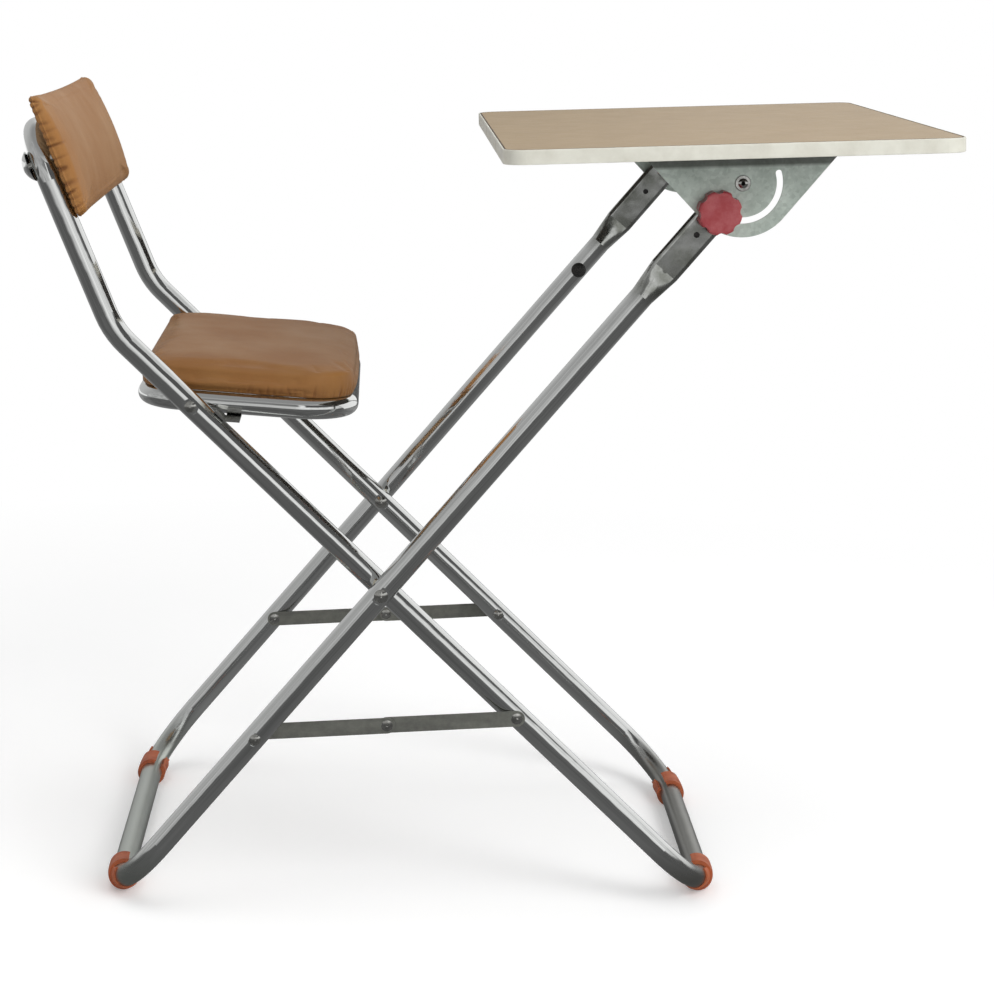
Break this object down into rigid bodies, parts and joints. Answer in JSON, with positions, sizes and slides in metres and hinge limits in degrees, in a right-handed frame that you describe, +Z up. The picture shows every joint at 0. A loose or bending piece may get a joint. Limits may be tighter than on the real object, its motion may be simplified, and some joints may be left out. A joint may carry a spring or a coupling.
{
  "type": "folding kids desk",
  "caption": "Child's desk and chair in one folding crossed tube frame, with a padded seat, a curved backrest and a laminate desktop that tilts on clamped brackets.",
  "frame": {"origin": "centre of the footprint of the whole desk, on the floor", "axes": "+Z up, +X from the backrest towards the desktop, +Y across, towards the far side of the picture"},
  "size_m": [0.775, 0.5, 0.6998],
  "materials": {
    "chrome": "polished chrome plate",
    "rivet_steel": "plated steel",
    "stay_steel": "dull dark plated strip",
    "galvanised": "galvanised sheet",
    "vinyl": "tan vinyl, satin",
    "plywood": "plain plywood",
    "chipboard": "chipboard",
    "laminate": "tan laminate, matt",
    "edging": "cream edging",
    "knob_plastic": "red moulded plastic",
    "foot_plastic": "brick orange moulded plastic",
    "rubber": "black rubber",
    "nylon": "natural nylon"
  },
  "bodies": {
    "desk_frame": {"desk_frame_tube": "chrome", "desk_foot_near": "foot_plastic", "desk_foot_far": "foot_plastic", "fold_pivot_rivets": "rivet_steel", "fold_pivot_spacers": "nylon", "desk_stay_rivets": "rivet_steel", "desk_stay_washers": "nylon", "fold_buffers": "rubber", "clamp_studs": "rivet_steel", "clamp_spacers": "rivet_steel", "tilt_rivets": "rivet_steel", "tilt_washers": "nylon"},
    "chair_frame": {"chair_frame_tube": "chrome", "chair_foot_near": "foot_plastic", "chair_foot_far": "foot_plastic", "chair_stay_rivets": "rivet_steel", "chair_stay_washers": "nylon", "backrest_board": "plywood", "backrest_pad": "vinyl", "backrest_bolts": "rivet_steel", "backrest_caps": "chrome", "seat_pivot_rivets": "rivet_steel", "seat_pivot_washers": "nylon"},
    "seat": {"seat_ring": "chrome", "seat_tabs": "chrome", "seat_stops": "rivet_steel", "seat_board": "plywood", "seat_screws": "rivet_steel", "seat_cushion": "vinyl"},
    "desk_stay": {"desk_stay_straps": "stay_steel", "desk_middle_rivets": "rivet_steel"},
    "chair_stay": {"chair_stay_straps": "stay_steel", "chair_middle_rivets": "rivet_steel"},
    "desktop": {"desktop_board": "chipboard", "desktop_laminate": "laminate", "desktop_edge_band": "edging", "bracket_near": "galvanised", "bracket_far": "galvanised", "bracket_screws": "rivet_steel"},
    "knob_near": {"knob_near": "knob_plastic", "knob_nut_near": "rivet_steel", "clamp_washer_near": "rivet_steel"},
    "knob_far": {"knob_far": "knob_plastic", "knob_nut_far": "rivet_steel", "clamp_washer_far": "rivet_steel"}
  },
  "joints": [
    {"name": "fold", "type": "hinge", "parent": "desk_frame", "child": "chair_frame", "pos_m": [-0.07494, 0, 0.2895], "axis": [0, 1, 0], "range_deg": [0, 48]},
    {"name": "desk_stay_pivot", "type": "hinge", "parent": "desk_frame", "child": "desk_stay", "pos_m": [-0.17859, 0, 0.1592], "axis": [0, -1, 0], "range_deg": [0, 38.1]},
    {"name": "chair_stay_pivot", "type": "hinge", "parent": "chair_frame", "child": "chair_stay", "pos_m": [0.04722, 0, 0.17637], "axis": [0, 1, 0], "range_deg": [0, 38.1]},
    {"name": "desktop_tilt", "type": "hinge", "parent": "desk_frame", "child": "desktop", "pos_m": [0.21266, 0, 0.65107], "axis": [0, 1, 0], "range_deg": [-20, 132.3]},
    {"name": "seat_hinge", "type": "hinge", "parent": "chair_frame", "child": "seat", "pos_m": [-0.24077, 0, 0.44305], "axis": [0, -1, 0], "range_deg": [0, 115]},
    {"name": "knob_near_turn", "type": "hinge", "parent": "desk_frame", "child": "knob_near", "pos_m": [0.19336, -0.2, 0.6268], "axis": [0, -1, 0], "range_deg": [0, 360]},
    {"name": "knob_far_turn", "type": "hinge", "parent": "desk_frame", "child": "knob_far", "pos_m": [0.19336, 0.2, 0.6268], "axis": [0, 1, 0], "range_deg": [0, 360]}
  ],
  "couplings": [
    {"joint": "desk_stay_pivot", "follows": "fold", "ratio": 0.7841},
    {"joint": "chair_stay_pivot", "follows": "fold", "ratio": 0.7841}
  ]
}
